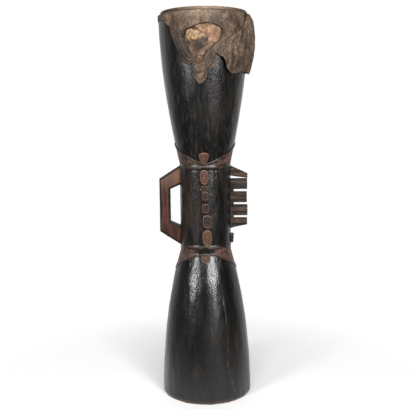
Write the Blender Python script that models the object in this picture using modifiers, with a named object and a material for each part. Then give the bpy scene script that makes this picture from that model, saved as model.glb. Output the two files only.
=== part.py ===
"""Kundu: an hourglass hand drum carved from one log, with the torn remains of a lizard skin head.

The drum stands on its foot at z = 0 with its axis along Z. The carved front faces -Y, the loop
handle points to -X and the comb crest to +X. All sizes are metres.

Run with: blender --background --python part.py
"""
import math

import bmesh
import bpy

# Fit between neighbouring pieces
CLEARANCE = 0.0003

# Shell: heights from the floor up, then radii, then how each bell opens
FOOT_BELL_HEIGHT = 0.290
WAIST_LENGTH = 0.172
HEAD_BELL_HEIGHT = 0.281
LIP_HEIGHT = 0.0057
FOOT_RADIUS = 0.0892
WAIST_RADIUS = 0.0500
SHOULDER_RADIUS = 0.0868
SHOULDER_STEP = 0.0065
FOOT_BELL_CURVE = 2.35
FOOT_BELL_STRAIGHT = 0.15
HEAD_BELL_CURVE = 1.7
HEAD_BELL_STRAIGHT = 0.0
FOOT_WALL = 0.0105
WAIST_WALL = 0.0180
HEAD_WALL = 0.0125
FOOT_WEAR = 0.0030
SHOULDER_EASE = 0.0012

# Two carved ridges round the shell, nearest the waist at the front and back
RIDGE_WIDTH = 0.0044
RIDGE_HEIGHT = 0.0018
HEAD_RIDGE_START = 0.0000
HEAD_RIDGE_CLIMB = 0.0390
HEAD_RIDGE_CURVE = 1.15
FOOT_RIDGE_START = 0.0010
FOOT_RIDGE_FALL = 0.0360
FOOT_RIDGE_CURVE = 1.5

# Loop handle on the waist, mirrored about its own middle
HANDLE_TOP_DROP = 0.0023
HANDLE_ROOT_SPAN = 0.1597
HANDLE_GRIP_SPAN = 0.1048
HANDLE_REACH = 0.0908
HANDLE_BAR = 0.0217
FINGER_SPAN_AT_GRIP = 0.0640
FINGER_SPAN_AT_BODY = 0.0810
HANDLE_THICKNESS = 0.0180
HANDLE_CHAMFER = 0.0028

# Comb crest opposite the handle: a slanting arm, a comb and the stub of a broken arm
CREST_REACH = 0.0833
CREST_THICKNESS = 0.0140
CREST_CHAMFER = 0.0010
ARM_ROOT_HEIGHT = 0.0227
ARM_TIP_HEIGHT = 0.0092
ARM_FALL = 0.0204
ARM_TO_COMB = 0.0078
TOOTH_COUNT = 4
TOOTH_HEIGHT = 0.0208
TOOTH_LENGTH = 0.0273
SLOT_HEIGHT = 0.0054
LAST_TOOTH_TIP_HEIGHT = 0.0128
LAST_TOOTH_ROOT_HEIGHT = 0.0222
COMB_TO_STUB = 0.0074
STUB_HEIGHT = 0.0210
STUB_REACH = 0.0562
ROOT_BITE = 0.0150

# Drumhead and the gum under it
SKIN_THICKNESS = 0.0010
GUM_THICKNESS = 0.0011
COLLAR_HEM = 0.0078

# Torn skin that still hangs from the collar
FLAP_LIFT = 0.0083
FLAP_FULLNESS = 0.6
SCRAP_THICKNESS = 0.0034
GUM_LUMP_THICKNESS = 0.0026

# Tuning wax on the head
WAX_COUNT = 4
WAX_RING_RADIUS = 0.0150
WAX_RADIUS = 0.0062
WAX_HEIGHT = 0.0042

# Fineness of the round surfaces
TURN_STEPS = 48
WAX_STEPS = 16
BELL_STATIONS = 11
RIDGE_STATIONS = 48
SHEET_STEP = 0.0085

# Heights worked out from the sizes above
WAIST_LOW = FOOT_BELL_HEIGHT
WAIST_HIGH = WAIST_LOW + WAIST_LENGTH
SHOULDER = WAIST_HIGH + HEAD_BELL_HEIGHT
LIP_TOP = SHOULDER + LIP_HEIGHT
LIP_RADIUS = SHOULDER_RADIUS - SHOULDER_STEP
HEAD_UNDERSIDE = LIP_TOP + CLEARANCE
HEAD_TOP = HEAD_UNDERSIDE + SKIN_THICKNESS
COLLAR_BOTTOM = SHOULDER - COLLAR_HEM
GUM_INNER = LIP_RADIUS + CLEARANCE
GUM_OUTER = GUM_INNER + GUM_THICKNESS
COLLAR_INNER = GUM_OUTER + CLEARANCE

# Outlines of the torn skin: sideways from the axis, then down from the collar's hem
APRON_OUTLINE = [
    (-0.0790, 0.0000), (-0.0664, 0.0130), (-0.0563, 0.0410), (-0.0491, 0.0594), (-0.0356, 0.0841),
    (-0.0256, 0.0872), (-0.0183, 0.0856), (-0.0204, 0.1104), (-0.0096, 0.1222), (0.0032, 0.1178),
    (0.0070, 0.1019), (0.0198, 0.0860), (0.0248, 0.0701), (0.0420, 0.0480), (0.0600, 0.0280),
    (0.0700, 0.0000),
]
TEAR_OUTLINE = [
    (0.0041, 0.0145), (-0.0183, 0.0210), (-0.0338, 0.0289), (-0.0349, 0.0411), (-0.0306, 0.0536),
    (-0.0217, 0.0680), (-0.0164, 0.0822), (-0.0083, 0.0859), (-0.0037, 0.0824), (0.0073, 0.0641),
    (0.0146, 0.0545), (0.0291, 0.0420), (0.0328, 0.0279), (0.0202, 0.0178),
]
SCRAP_OUTLINE = [
    (-0.0310, 0.0317), (-0.0150, 0.0227), (0.0040, 0.0172), (0.0190, 0.0202), (0.0295, 0.0292),
    (0.0260, 0.0412), (0.0120, 0.0522), (0.0050, 0.0577), (-0.0200, 0.0577), (-0.0280, 0.0522),
    (-0.0325, 0.0407),
]
GUM_LUMP_OUTLINE = [
    (-0.0200, 0.0602), (0.0050, 0.0602), (-0.0045, 0.0792), (-0.0090, 0.0832), (-0.0145, 0.0802),
]
FLAP_OUTLINE = [
    (0.0247, 0.0705), (0.0369, 0.0800), (0.0417, 0.0937), (0.0435, 0.1000), (0.0530, 0.1032),
    (0.1100, 0.1000), (0.1100, 0.0000), (0.0760, 0.0000), (0.0700, 0.0150), (0.0480, 0.0400),
]
FLAP_FRONT_ANGLE = math.radians(12)
FLAP_FRONT_RISE = math.radians(50)
FLAP_BACK_ANGLE = math.radians(118)
FLAP_BACK_RISE = math.radians(22)
APRON_LEFT_ANGLE = math.radians(-70)
APRON_RIGHT_ANGLE = math.radians(58)

for old in list(bpy.data.objects):
    bpy.data.objects.remove(old)

parts = bpy.data.collections.new("kundu_drum")
cutters = bpy.data.collections.new("cutters")
bpy.context.scene.collection.children.link(parts)
bpy.context.scene.collection.children.link(cutters)


def finish(name, colour, roughness):
    """A plain surface finish of one colour."""
    material = bpy.data.materials.new(name)
    material.use_nodes = True
    shader = material.node_tree.nodes["Principled BSDF"]
    shader.inputs["Base Color"].default_value = (*colour, 1)
    shader.inputs["Roughness"].default_value = roughness
    shader.inputs["Metallic"].default_value = 0.0
    material.diffuse_color = (*colour, 1)
    return material


black_wood = finish("blackened_wood", (0.030, 0.026, 0.023), 0.34)
red_wood = finish("reddish_wood", (0.150, 0.068, 0.042), 0.48)
grey_wood = finish("weathered_wood", (0.105, 0.074, 0.054), 0.62)
lizard_skin = finish("lizard_skin", (0.235, 0.180, 0.135), 0.66)
pale_skin = finish("pale_skin", (0.520, 0.400, 0.260), 0.70)
tree_gum = finish("tree_gum", (0.330, 0.150, 0.050), 0.38)
tuning_wax = finish("tuning_wax", (0.065, 0.042, 0.026), 0.45)


def swell(share, curve, straight):
    """How far a bell has opened, from 0 at the waist to 1 at its mouth."""
    return (1 - straight) * (1 - (1 - share) ** curve) + straight * share


def foot_bell(z, waist, mouth):
    """Radius in the foot bell at height z, between its waist radius and its mouth radius."""
    share = (WAIST_LOW - z) / FOOT_BELL_HEIGHT
    return waist + (mouth - waist) * swell(share, FOOT_BELL_CURVE, FOOT_BELL_STRAIGHT)


def head_bell(z, waist, mouth):
    """Radius in the head bell at height z, between its waist radius and its mouth radius."""
    share = min(1.0, (z - WAIST_HIGH) / HEAD_BELL_HEIGHT)
    return waist + (mouth - waist) * swell(share, HEAD_BELL_CURVE, HEAD_BELL_STRAIGHT)


def wood_radius(z):
    """Outer radius of the shell at height z."""
    if z < WAIST_LOW:
        return foot_bell(z, WAIST_RADIUS, FOOT_RADIUS)
    if z > WAIST_HIGH:
        return head_bell(z, WAIST_RADIUS, SHOULDER_RADIUS)
    return WAIST_RADIUS


def bell_heights(low, high):
    """Even heights from low to high, both ends counted."""
    return [low + (high - low) * i / BELL_STATIONS for i in range(BELL_STATIONS + 1)]


def outer_side(grow, low, high):
    """The shell's outer side from height high down to height low, grown outwards."""
    heights = bell_heights(low, WAIST_LOW) + bell_heights(WAIST_HIGH, high)
    return [(wood_radius(z) + grow, z) for z in reversed(heights)]


def turned(name, profile, material, closed=True, folder=parts, steps=TURN_STEPS):
    """A shape turned about Z. The profile runs down its outer side, from top to bottom."""
    edges = [(i, i + 1) for i in range(len(profile) - 1)]
    if closed:
        edges.append((len(profile) - 1, 0))
    mesh = bpy.data.meshes.new(name)
    mesh.from_pydata([(radius, 0, z) for radius, z in profile], edges, [])
    shape = bpy.data.objects.new(name, mesh)
    folder.objects.link(shape)
    screw = shape.modifiers.new("Turn", "SCREW")
    screw.axis = "Z"
    screw.angle = 2 * math.pi
    screw.steps = steps
    screw.render_steps = steps
    screw.use_merge_vertices = True
    screw.merge_threshold = 0.00001
    screw.use_smooth_shade = True
    if material:
        mesh.materials.append(material)
    return shape


def make_cutter(shape):
    """Marks a shape as a cutter, which is no part of the drum."""
    shape.hide_render = True
    shape.display_type = "WIRE"
    return shape


def prism(name, outline, holes, half_depth, middle_y, folder):
    """A flat outline in the XZ plane, filled and given depth along Y, as a welded mesh."""
    curve = bpy.data.curves.new(name, "CURVE")
    curve.dimensions = "2D"
    curve.fill_mode = "BOTH"
    curve.extrude = half_depth
    for loop in [outline, *holes]:
        spline = curve.splines.new("POLY")
        spline.points.add(len(loop) - 1)
        for point, (x, z) in zip(spline.points, loop):
            point.co = (x, z, 0, 1)
        spline.use_cyclic_u = True
    drawn = bpy.data.objects.new(name + "_outline", curve)
    drawn.rotation_euler = (math.pi / 2, 0, 0)
    drawn.location = (0, middle_y, 0)
    return as_mesh(drawn, name, folder)


def as_mesh(drawn, name, folder):
    """A curve object turned into a welded mesh object, which then takes its place."""
    folder.objects.link(drawn)
    bpy.context.view_layer.update()
    evaluated = drawn.evaluated_get(bpy.context.evaluated_depsgraph_get())
    mesh = bpy.data.meshes.new_from_object(evaluated)
    solid = bpy.data.objects.new(name, mesh)
    solid.matrix_world = drawn.matrix_world.copy()
    folder.objects.link(solid)
    bpy.data.objects.remove(drawn)
    work = bmesh.new()
    work.from_mesh(mesh)
    bmesh.ops.remove_doubles(work, verts=work.verts, dist=0.00001)
    bmesh.ops.recalc_face_normals(work, faces=work.faces)
    work.to_mesh(mesh)
    work.free()
    return solid


def add_boolean(shape, cutter, operation):
    """Cuts a shape with a cutter, joins them, or keeps what they share."""
    cut = shape.modifiers.new(operation.title(), "BOOLEAN")
    cut.operation = operation
    cut.solver = "EXACT"
    cut.object = cutter


def add_chamfer(shape, width):
    """Breaks the sharp edges of a flat piece."""
    bevel = shape.modifiers.new("Chamfer", "BEVEL")
    bevel.width = width
    bevel.segments = 1
    bevel.limit_method = "ANGLE"
    bevel.angle_limit = math.radians(30)


def flat_piece(name, outline, thickness, chamfer, material):
    """A flat carved piece on the waist, whose root follows the shell."""
    piece = prism(name, outline, [], thickness / 2, 0, parts)
    piece.data.materials.clear()
    piece.data.materials.append(material)
    add_chamfer(piece, chamfer)
    add_boolean(piece, shell_envelope, "DIFFERENCE")
    return piece


def build_shell():
    """The hourglass shell: outside, foot, bore and the lip that carries the head."""
    foot_bore = FOOT_RADIUS - FOOT_WALL
    waist_bore = WAIST_RADIUS - WAIST_WALL
    head_bore = SHOULDER_RADIUS - HEAD_WALL
    side = outer_side(0, FOOT_WEAR, SHOULDER - SHOULDER_EASE)
    lip = [
        (head_bore, LIP_TOP),
        (LIP_RADIUS, LIP_TOP),
        (LIP_RADIUS, SHOULDER),
        (SHOULDER_RADIUS - SHOULDER_EASE, SHOULDER),
    ]
    foot = [(wood_radius(FOOT_WEAR) - FOOT_WEAR, 0), (foot_bore, 0)]
    bore = [(foot_bell(z, waist_bore, foot_bore), z) for z in bell_heights(0, WAIST_LOW)[1:]]
    bore += [(head_bell(z, waist_bore, head_bore), z) for z in bell_heights(WAIST_HIGH, SHOULDER)]
    shell = turned("shell", lip + side + foot + bore, black_wood)
    head_start = WAIST_HIGH + HEAD_RIDGE_START
    foot_start = WAIST_LOW - FOOT_RIDGE_START
    head_ridge = carved_ridge("head_ridge", head_start, HEAD_RIDGE_CLIMB, HEAD_RIDGE_CURVE)
    foot_ridge = carved_ridge("foot_ridge", foot_start, -FOOT_RIDGE_FALL, FOOT_RIDGE_CURVE)
    add_boolean(shell, head_ridge, "UNION")
    add_boolean(shell, foot_ridge, "UNION")


def carved_ridge(name, start, climb, curve):
    """A round ridge on the shell, at height start in front and behind, and start + climb at the sides."""
    path = []
    for i in range(RIDGE_STATIONS):
        angle = 2 * math.pi * i / RIDGE_STATIONS
        off_front = abs(math.asin(math.sin(angle))) / (math.pi / 2)
        z = start + climb * off_front ** curve
        radius = wood_radius(z) + RIDGE_HEIGHT - RIDGE_WIDTH / 2
        path.append((radius * math.sin(angle), -radius * math.cos(angle), z, 1))
    curve_data = bpy.data.curves.new(name, "CURVE")
    curve_data.dimensions = "3D"
    curve_data.bevel_depth = RIDGE_WIDTH / 2
    curve_data.bevel_resolution = 1
    spline = curve_data.splines.new("POLY")
    spline.points.add(len(path) - 1)
    for point, place in zip(spline.points, path):
        point.co = place
    spline.use_cyclic_u = True
    return make_cutter(as_mesh(bpy.data.objects.new(name + "_path", curve_data), name, cutters))


def build_envelope():
    """A cutter just larger than the shell, for the roots of the handle and the crest."""
    side = outer_side(CLEARANCE, 0, SHOULDER)
    return make_cutter(turned("shell_envelope", [(0, SHOULDER), *side, (0, 0)], None, False, cutters))


def build_handle():
    """The loop handle: a straight grip between two slanting arms."""
    middle = WAIST_HIGH - HANDLE_TOP_DROP - HANDLE_ROOT_SPAN / 2
    root = WAIST_RADIUS
    reach = HANDLE_REACH
    inner = HANDLE_REACH - HANDLE_BAR
    outer_slope = (HANDLE_ROOT_SPAN - HANDLE_GRIP_SPAN) / 2 / (reach - root)
    inner_slope = (FINGER_SPAN_AT_BODY - FINGER_SPAN_AT_GRIP) / 2 / (inner - root)
    half = [
        (inner, FINGER_SPAN_AT_GRIP / 2),
        (root - ROOT_BITE, FINGER_SPAN_AT_BODY / 2 + inner_slope * ROOT_BITE),
        (root - ROOT_BITE, HANDLE_ROOT_SPAN / 2 + outer_slope * ROOT_BITE),
        (reach, HANDLE_GRIP_SPAN / 2),
    ]
    upper = [(-x, middle + h) for x, h in half]
    lower = [(-x, middle - h) for x, h in reversed(half)]
    flat_piece("handle", upper + lower, HANDLE_THICKNESS, HANDLE_CHAMFER, red_wood)


def build_crest():
    """The crest: a slanting arm, a comb of square teeth and the stub of a lost arm."""
    root = WAIST_RADIUS - ROOT_BITE
    run = CREST_REACH - WAIST_RADIUS
    top = WAIST_HIGH
    tip_top = top - ARM_FALL
    tip_bottom = tip_top - ARM_TIP_HEIGHT
    root_bottom = top - ARM_ROOT_HEIGHT
    top_rise = ARM_FALL / run * ROOT_BITE
    bottom_rise = (root_bottom - tip_bottom) / run * ROOT_BITE
    arm = [
        (root, top + top_rise),
        (CREST_REACH, tip_top),
        (CREST_REACH, tip_bottom),
        (root, root_bottom + bottom_rise),
    ]
    flat_piece("crest_arm", arm, CREST_THICKNESS, CREST_CHAMFER, grey_wood)

    slot_root = CREST_REACH - TOOTH_LENGTH
    comb_top = root_bottom - ARM_TO_COMB
    comb = [(root, comb_top), (CREST_REACH, comb_top)]
    tooth_top = comb_top
    for _ in range(TOOTH_COUNT - 1):
        tooth_bottom = tooth_top - TOOTH_HEIGHT
        next_top = tooth_bottom - SLOT_HEIGHT
        comb += [
            (CREST_REACH, tooth_bottom),
            (slot_root, tooth_bottom),
            (slot_root, next_top),
            (CREST_REACH, next_top),
        ]
        tooth_top = next_top
    comb_bottom = tooth_top - LAST_TOOTH_ROOT_HEIGHT
    comb += [
        (CREST_REACH, tooth_top - LAST_TOOTH_TIP_HEIGHT),
        (WAIST_RADIUS, comb_bottom),
        (root, comb_bottom),
    ]
    flat_piece("crest_comb", comb, CREST_THICKNESS, CREST_CHAMFER, grey_wood)

    stub_top = comb_bottom - COMB_TO_STUB
    stub = [
        (root, stub_top),
        (STUB_REACH, stub_top),
        (STUB_REACH, stub_top - STUB_HEIGHT),
        (root, stub_top - STUB_HEIGHT),
    ]
    flat_piece("crest_stub", stub, CREST_THICKNESS, CREST_CHAMFER, black_wood)


def build_drumhead():
    """The head, stretched over the lip and turned down over the shoulder as a collar."""
    hem_radius = wood_radius(COLLAR_BOTTOM) + CLEARANCE
    underside = [
        (0, HEAD_UNDERSIDE),
        (COLLAR_INNER, HEAD_UNDERSIDE),
        (COLLAR_INNER, SHOULDER + CLEARANCE),
        (SHOULDER_RADIUS + CLEARANCE, SHOULDER + CLEARANCE),
        (hem_radius, COLLAR_BOTTOM),
    ]
    head = turned("drumhead_skin", underside, lizard_skin, closed=False)
    thicken(head, SKIN_THICKNESS)


def thicken(surface, thickness):
    """Gives an open surface a wall on its outer side."""
    wall = surface.modifiers.new("Wall", "SOLIDIFY")
    wall.thickness = thickness
    wall.offset = 1.0
    wall.use_even_offset = True
    wall.use_rim = True


def build_gum_seal():
    """The ring of tree gum between the lip and the skin."""
    low = SHOULDER + CLEARANCE
    ring = [(GUM_INNER, LIP_TOP), (GUM_OUTER, LIP_TOP), (GUM_OUTER, low), (GUM_INNER, low)]
    turned("gum_seal", ring, tree_gum)


def lying_flat(angle, drop):
    """Lift of a piece that lies against the wood."""
    return CLEARANCE


def flap_lift(angle, drop):
    """Lift of the loose flap: over the apron at the hem, then bulging out along the drum's side."""
    over_apron = 2 * CLEARANCE + SKIN_THICKNESS
    length = max(fall for _, fall in FLAP_OUTLINE) + SHEET_STEP
    bulge = math.sin(math.pi * min(1.0, drop / length)) ** FLAP_FULLNESS
    front = min(1.0, max(0.0, (angle - FLAP_FRONT_ANGLE) / FLAP_FRONT_RISE))
    back = min(1.0, max(0.0, (FLAP_BACK_ANGLE - angle) / FLAP_BACK_RISE))
    side = (0.35 + 0.65 * front) * (0.35 + 0.65 * back)
    return over_apron + FLAP_LIFT * bulge * side


def draped_sheet(name, outline, holes, angles, lift, thickness, material, reach_back):
    """A sheet bent round the head bell below the collar, then cut to its outline.

    angles: its two side limits about the axis, from the front. lift: its height above the wood
    at an angle and a drop. reach_back: how far behind the axis the outline still cuts.
    """
    top = COLLAR_BOTTOM - CLEARANCE
    first, last = angles
    low_drop = max(drop for _, drop in outline) + SHEET_STEP / 2
    columns = round((last - first) * SHOULDER_RADIUS / SHEET_STEP)
    rows = round(low_drop / SHEET_STEP)
    work = bmesh.new()
    bmesh.ops.create_grid(work, x_segments=columns, y_segments=rows, size=0.5)
    for vert in work.verts:
        angle = first + (vert.co.x + 0.5) * (last - first)
        drop = (0.5 - vert.co.y) * low_drop
        z = top - drop
        radius = wood_radius(z) + lift(angle, drop)
        vert.co = (radius * math.sin(angle), -radius * math.cos(angle), z)
    bmesh.ops.recalc_face_normals(work, faces=work.faces)
    work.faces.ensure_lookup_table()
    middle = work.faces[len(work.faces) // 2]
    outward = middle.calc_center_median()
    if middle.normal.x * outward.x + middle.normal.y * outward.y < 0:
        bmesh.ops.reverse_faces(work, faces=work.faces)
    mesh = bpy.data.meshes.new(name)
    work.to_mesh(mesh)
    work.free()
    mesh.materials.append(material)
    sheet = bpy.data.objects.new(name, mesh)
    parts.objects.link(sheet)
    thicken(sheet, thickness)
    front = 2 * SHOULDER_RADIUS
    loops = [[(x, top - drop) for x, drop in loop] for loop in [outline, *holes]]
    half_depth = (front + reach_back) / 2
    shape = prism(name + "_cutter", loops[0], loops[1:], half_depth, reach_back - half_depth, cutters)
    add_boolean(sheet, make_cutter(shape), "INTERSECT")
    return sheet


def build_torn_skin():
    """The torn skin below the collar, with the scrap and the gum that show in its tear."""
    apron_angles = (APRON_LEFT_ANGLE, APRON_RIGHT_ANGLE)
    flap_angles = (FLAP_FRONT_ANGLE, FLAP_BACK_ANGLE)
    tear_angles = (math.radians(-30), math.radians(30))
    behind = SHOULDER_RADIUS * 0.6
    draped_sheet("skin_apron", APRON_OUTLINE, [TEAR_OUTLINE], apron_angles, lying_flat,
                 SKIN_THICKNESS, lizard_skin, 0)
    draped_sheet("skin_flap", FLAP_OUTLINE, [], flap_angles, flap_lift,
                 SKIN_THICKNESS, lizard_skin, behind)
    draped_sheet("skin_scrap", SCRAP_OUTLINE, [], tear_angles, lying_flat,
                 SCRAP_THICKNESS, pale_skin, 0)
    draped_sheet("gum_lump", GUM_LUMP_OUTLINE, [], tear_angles, lying_flat,
                 GUM_LUMP_THICKNESS, tree_gum, 0)


def build_wax():
    """Lumps of wax on the middle of the head, which tune it."""
    base = HEAD_TOP + CLEARANCE
    dome = [
        (0, base + WAX_HEIGHT),
        (WAX_RADIUS * 0.60, base + WAX_HEIGHT * 0.88),
        (WAX_RADIUS * 0.92, base + WAX_HEIGHT * 0.50),
        (WAX_RADIUS, base + WAX_HEIGHT * 0.15),
        (WAX_RADIUS * 0.95, base),
        (0, base),
    ]
    for i in range(WAX_COUNT):
        lump = turned(f"tuning_wax_{i + 1}", dome, tuning_wax, closed=False, steps=WAX_STEPS)
        angle = 2 * math.pi * (i + 0.5) / WAX_COUNT
        lump.location = (WAX_RING_RADIUS * math.cos(angle), WAX_RING_RADIUS * math.sin(angle), 0)


shell_envelope = build_envelope()
build_shell()
build_handle()
build_crest()
build_drumhead()
build_gum_seal()
build_torn_skin()
build_wax()
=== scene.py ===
import math

import bpy
import numpy as np
from mathutils import Matrix, Vector


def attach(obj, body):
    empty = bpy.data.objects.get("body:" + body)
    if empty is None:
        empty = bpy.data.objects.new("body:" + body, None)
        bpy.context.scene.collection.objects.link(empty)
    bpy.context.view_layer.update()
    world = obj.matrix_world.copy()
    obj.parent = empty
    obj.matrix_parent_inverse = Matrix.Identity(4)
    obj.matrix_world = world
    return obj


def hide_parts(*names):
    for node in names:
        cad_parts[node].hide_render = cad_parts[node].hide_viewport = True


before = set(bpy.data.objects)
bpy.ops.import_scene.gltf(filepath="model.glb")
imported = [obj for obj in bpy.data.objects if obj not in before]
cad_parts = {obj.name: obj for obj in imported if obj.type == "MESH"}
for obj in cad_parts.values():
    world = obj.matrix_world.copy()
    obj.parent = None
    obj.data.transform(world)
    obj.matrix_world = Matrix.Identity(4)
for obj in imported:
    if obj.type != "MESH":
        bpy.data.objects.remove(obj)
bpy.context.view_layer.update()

bl_info = {
    "name": "Kundu Drum",
    "version": (1, 0, 0),
    "blender": (4, 5, 0),
    "location": "3D View > Sidebar > Kundu",
    "description": "Carved wood, dried skin, gum and wax for a kundu hourglass drum",
    "category": "Add Mesh",
}

# Shell: heights and radii in metres
WAIST_LOW = 0.290
WAIST_HIGH = 0.462
SHOULDER = 0.743
LIP_TOP = 0.7487
FOOT_RADIUS = 0.0892
WAIST_RADIUS = 0.0500
SHOULDER_RADIUS = 0.0868
LIP_RADIUS = 0.0803
FOOT_BORE = 0.0787
WAIST_BORE = 0.0320
HEAD_BORE = 0.0743
LIP_FILLET = 0.0006
LIP_EASE = 0.0008
FOOT_WEAR = 0.0030
FOOT_WEAR_HEIGHT = 0.0040

# How the bells open: power of the curve, and share of a straight cone in the foot bell
FOOT_CURVE = 2.35
FOOT_STRAIGHT = 0.15
HEAD_CURVE = 1.7

# Grid of the shell: rows lie closer over the worn foot and over the carved ends of the waist
SHELL_COLUMNS = 300
BORE_ROWS = 34
OUTSIDE_ROWS = np.concatenate([
    [0.0, 0.0006, 0.0016, 0.003],
    np.linspace(0.005, 0.246, 58),
    np.linspace(0.2475, 0.311, 46),
    np.linspace(0.314, 0.444, 46),
    np.linspace(0.4455, 0.508, 46),
    np.linspace(0.512, 0.742, 52),
    [SHOULDER],
])

# Lines cut round the waist and raised bands between them, in metres
TOP_LINE = 0.4613
BOTTOM_LINE = 0.2975
LINES = (TOP_LINE, 0.4592, 0.4556, 0.4515, 0.3059, 0.3017, BOTTOM_LINE)
LINE_DEPTH = 0.0002
LINE_WIDTH = 0.0007
BANDS = (0.4574, 0.3018)
BAND_RISE = 0.0007
BAND_WIDTH = 0.0024

# Crack in the foot bell: heights in metres and degrees from the front
CRACK = [(0.021, 37), (0.052, 33), (0.064, 27.5), (0.144, 30.2), (0.206, 26)]
CRACK_DEPTH = 0.0007

# Carved ridges: height at the front and back, climb toward the sides, and power of the climb
RIDGES = {"ridge_head": (WAIST_HIGH, 0.039, 1.15), "ridge_foot": (0.289, -0.036, 1.5)}
RIDGE_HALF = 0.0022
RIDGE_OUT = 0.0018
RIDGE_SINK = 0.0016
RIDGE_CLEAR = 0.0018
RIDGE_UNEVEN = 0.0003
RIDGE_COLUMNS = 420
RIDGE_SECTION = 14

# Carved signs down the front: name, look, height, degrees, tall, wide, corner power, taper
SIGNS = [
    ("sign_drop", "ochre", 0.4738, -2.1, 0.0242, 0.0165, 2.3, 0.45),
    ("sign_upper_oval", "ochre", 0.4386, -2.1, 0.0285, 0.0156, 2.6, 0.05),
    ("sign_arch", "smoky", 0.4167, -2.1, 0.0106, 0.0153, 3.5, -0.2),
    ("sign_panel_high", "smoky", 0.4025, -0.7, 0.0168, 0.0126, 5.0, 0.1),
    ("sign_panel_middle", "smoky", 0.3787, 0.1, 0.0174, 0.0134, 4.0, -0.1),
    ("sign_panel_low", "smoky", 0.3531, 3.8, 0.0247, 0.0165, 3.5, 0.1),
    ("sign_lower_oval", "ochre", 0.3208, 3.6, 0.0313, 0.0187, 2.4, 0.0),
    ("sign_disc", "ochre", 0.2814, 0.3, 0.0179, 0.0176, 2.0, 0.0),
]
SIGN_CROWN = 0.0011
SIGN_SINK = 0.0015
SIGN_GROOVES = ((0.76, 0.0007), (0.42, 0.0006))
SIGN_RINGS = 30
SIGN_ROUGH = 0.00005

# Across a sign as shares of its outline: cut and stained width of a groove, the pale band, the dark rim
GROOVE_WIDTH = 0.055
STAIN_WIDTH = 0.06
SIGN_BAND = 0.9
SIGN_RIM = 0.97

# Loop handle in metres: half heights at its root and tip, outside the loop and round its finger gap
HANDLE_MIDDLE = 0.37985
HANDLE_ROOT = -0.040
HANDLE_TIP = -0.0905
HANDLE_HALF = (0.0850, 0.0524)
GAP_TIP = -0.0691
GAP_HALF = (0.0450, 0.0320)
HANDLE_DEPTH = 0.018
HANDLE_EASE = 0.0028

# Bars of the handle and crest: stations along them, and roughness in metres
BAR_STATIONS = 70
BAR_ROUGH = 0.0004
STUB_ROUGH = 0.0006

# Comb crest in metres: upper and lower edges as X and Z
CREST_ROOT = 0.040
CREST_DEPTH = 0.014
CREST_EASE = 0.0013
SPINE_FACE = 0.0563
TOOTH_ROOT = 0.0545
TOOTH_TIP = 0.0833
TOOTH_WEAR = 0.0006
UPPER_ARM = ([(CREST_ROOT, 0.4620), (TOOTH_TIP, 0.4416)], [(CREST_ROOT, 0.4393), (TOOTH_TIP, 0.4324)])
SPINE = ([(CREST_ROOT, 0.4315), (SPINE_FACE, 0.4315)], [(CREST_ROOT, 0.3307), (SPINE_FACE, 0.3342)])
STUB = ([(CREST_ROOT, 0.3233), (0.0562, 0.3215)], [(CREST_ROOT, 0.3023), (0.0550, 0.3040)])

# Teeth from the top: height of the upper edge, and of the lower edge at the root and at the tip
TEETH = [
    (0.4315, 0.4107, 0.4107), (0.4053, 0.3845, 0.3845), (0.3791, 0.3583, 0.3583), (0.3529, 0.3342, 0.3401),
]

# Head skin in metres: heights and radii, how far the collar falls, and how strongly it is crinkled
HEAD_TOP = 0.7500
LIP_SKIN_RADIUS = 0.0830
COLLAR_TOP = 0.7428
COLLAR_FALL = 0.0072
COLLAR_LONGER = 0.0060
HEAD_MIDDLE = 0.0006
HEAD_EDGE = 0.0805
SAG_RADIUS = 0.0800
LIP_SIDE = (0.7480, 0.7450)
CRINKLE_OUT = 0.00035
CRINKLE_UP = 0.00025
SKIN_GAP = 0.0003
SKIN_THICKNESS = 0.0010

# Profile of the head skin: radius and height over the rim, and from the crease out to the collar
RIM = [(0.0818, HEAD_TOP - 0.0001), (0.0826, 0.7494), (LIP_SKIN_RADIUS, 0.7486)]
CREASE = [(0.0831, 0.7442), (0.0838, 0.7437), (0.0855, 0.7436), (0.0870, 0.7434), (0.0879, COLLAR_TOP)]
# Height of the painted shade along the head skin's crease
CREASE_SHADE_HEIGHT = 0.7440

# Tuning wax in metres: four lumps at these degrees round the middle of the head
WAX_DEGREES = (45, 135, 225, 315)
WAX_PLACE = 0.015
WAX_RADIUS = 0.0062
WAX_BASE = 0.7481
WAX_RISE = 0.0059
WAX_LUMPS = 0.00045

# Torn skin: degrees from the front and millimetres below the shoulder
APRON_OUTER = [
    (0, 0.3), (-25, 0.3), (-50, 0.5), (-73.8, 1.6), (-64, 11), (-48.9, 21), (-40.4, 48.9), (-35, 67.2),
    (-25.3, 91.9), (-17.9, 95), (-12.7, 93.4), (-14.2, 115), (-6.5, 131), (1.5, 124), (4.9, 109.7),
    (13.8, 93.8), (17, 77.9), (24, 70), (40, 52), (58, 30), (66, 12), (66, 0.3), (40, 0.3), (20, 0.3),
]
APRON_TEAR = [
    (0, 23.5), (-10, 28), (-20, 34.5), (-22.8, 37.5), (-23.3, 40), (-23.6, 43), (-23.7, 48.9), (-21.5, 59),
    (-18, 69), (-14.8, 75.8), (-13, 83), (-11.3, 90), (-8, 92.5), (-5.7, 93.7), (-2.6, 90.2),
    (1, 80), (4.9, 71.9), (8.5, 65), (13, 58), (17.5, 53), (19.6, 49.8), (22, 35.7), (17, 28), (9, 24),
]
FLAP_LEFT_TOP = (62, 0.3)
FLAP_RIGHT_TOP = (118, 0.3)
FLAP_LEFT_LOW = (4.6, 75)
FLAP_RIGHT_LOW = (118, 104)
FLAP_FOLD = [FLAP_LEFT_TOP, (49.3, 28), (26, 53), FLAP_LEFT_LOW]
FLAP_HEM = [
    FLAP_LEFT_LOW, (16.5, 78), (24.7, 87.8), (28.7, 101.5), (38, 111), (62, 108), (90, 109), FLAP_RIGHT_LOW,
]
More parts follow.
